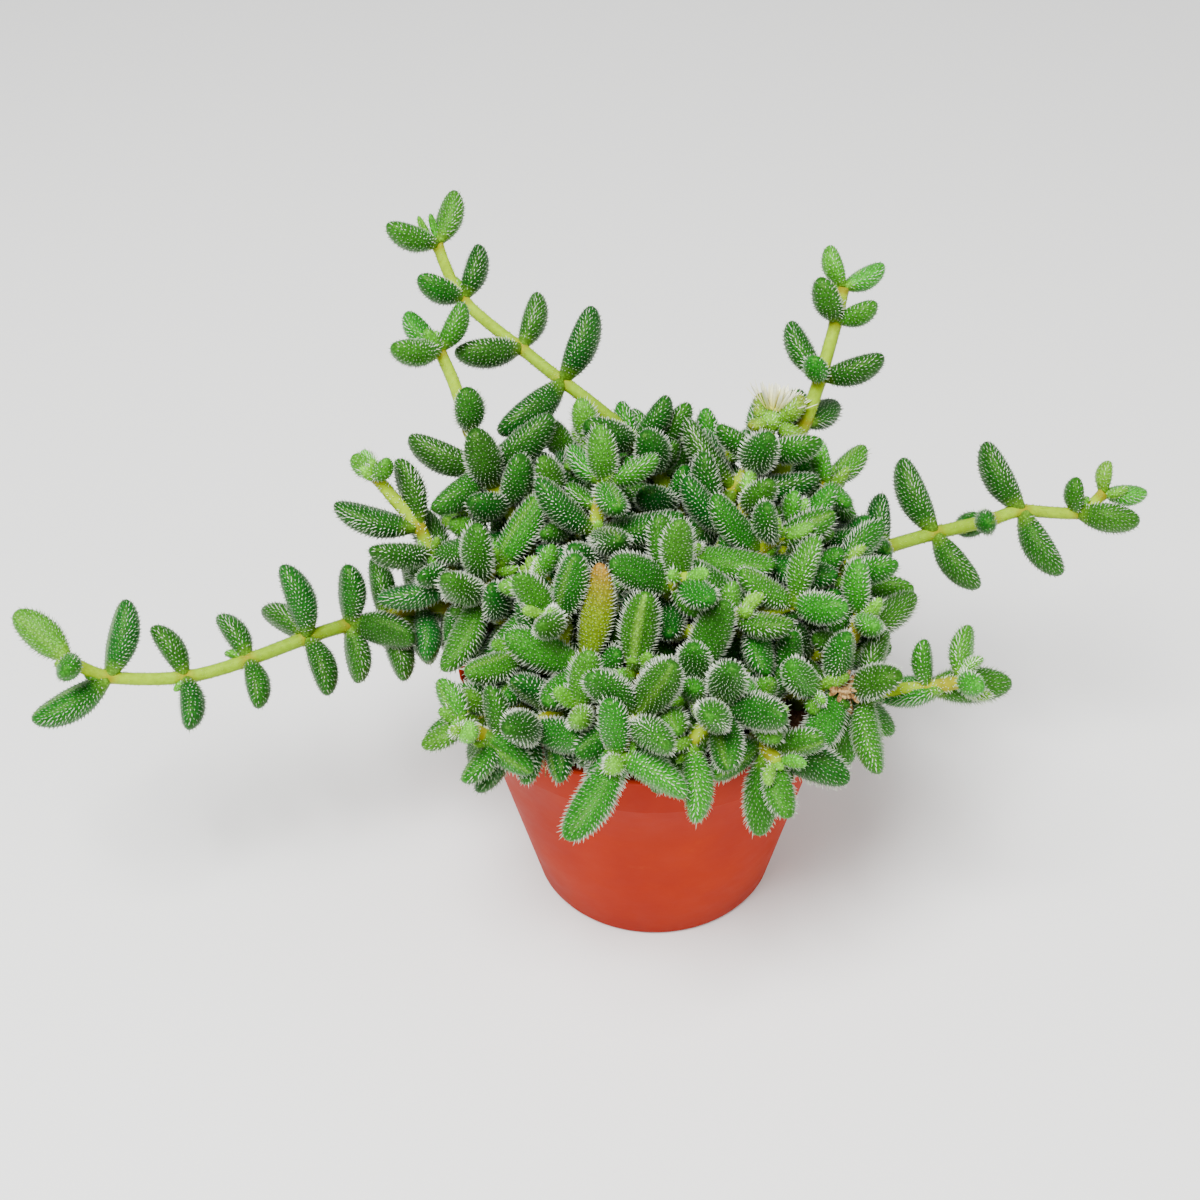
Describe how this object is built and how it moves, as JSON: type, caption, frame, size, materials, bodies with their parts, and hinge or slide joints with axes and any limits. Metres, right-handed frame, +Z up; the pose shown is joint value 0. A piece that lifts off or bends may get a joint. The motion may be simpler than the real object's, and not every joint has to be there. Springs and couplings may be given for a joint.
{
  "type": "potted succulent plant",
  "caption": "Small succulent with plump bristly leaves and trailing shoots, in a tapered terracotta-coloured plastic nursery pot with soil.",
  "frame": {"origin": "middle of the pot's underside, which stands on the floor", "axes": "+Z up along the pot's axis, -Y towards the front of the plant, +X to its right when seen from the front"},
  "size_m": [0.2458, 0.1277, 0.1382],
  "materials": {
    "pot_plastic": "smooth satin",
    "soil": "loose peat",
    "leaf_green": "fleshy, with fine pale bristles",
    "petal_cream": "soft petals",
    "dry_brown": "dry and papery"
  },
  "bodies": {
    "root": {"pot": "pot_plastic", "soil": "soil", "trailing_shoot_left": "leaf_green", "arching_shoot_back": "leaf_green", "upright_shoot_left": "leaf_green", "tuft_left": "leaf_green", "flower_shoot": "leaf_green", "upright_shoot_right": "leaf_green", "shoot_right_back": "leaf_green", "trailing_shoot_right": "leaf_green", "shoot_lower_right": "leaf_green", "shoot_lower_left": "leaf_green", "shoot_front": "leaf_green", "mound_shoot_01": "leaf_green", "mound_shoot_02": "leaf_green", "mound_shoot_03": "leaf_green", "mound_shoot_04": "leaf_green", "mound_shoot_05": "leaf_green", "mound_shoot_06": "leaf_green", "mound_shoot_07": "leaf_green", "mound_shoot_08": "leaf_green", "mound_shoot_09": "leaf_green", "mound_shoot_10": "leaf_green", "mound_shoot_11": "leaf_green", "mound_shoot_12": "leaf_green", "mound_shoot_13": "leaf_green", "mound_shoot_14": "leaf_green", "mound_shoot_15": "leaf_green", "mound_shoot_16": "leaf_green", "mound_shoot_17": "leaf_green", "inner_shoot_01": "leaf_green", "inner_shoot_02": "leaf_green", "inner_shoot_03": "leaf_green", "inner_shoot_04": "leaf_green", "inner_shoot_05": "leaf_green", "inner_shoot_06": "leaf_green", "inner_shoot_07": "leaf_green", "inner_shoot_08": "leaf_green", "inner_shoot_09": "leaf_green", "inner_shoot_10": "leaf_green", "inner_shoot_11": "leaf_green", "inner_shoot_12": "leaf_green", "inner_shoot_13": "leaf_green", "inner_shoot_14": "leaf_green", "bloom": "petal_cream", "dry_seed_cup": "dry_brown"}
  },
  "joints": []
}
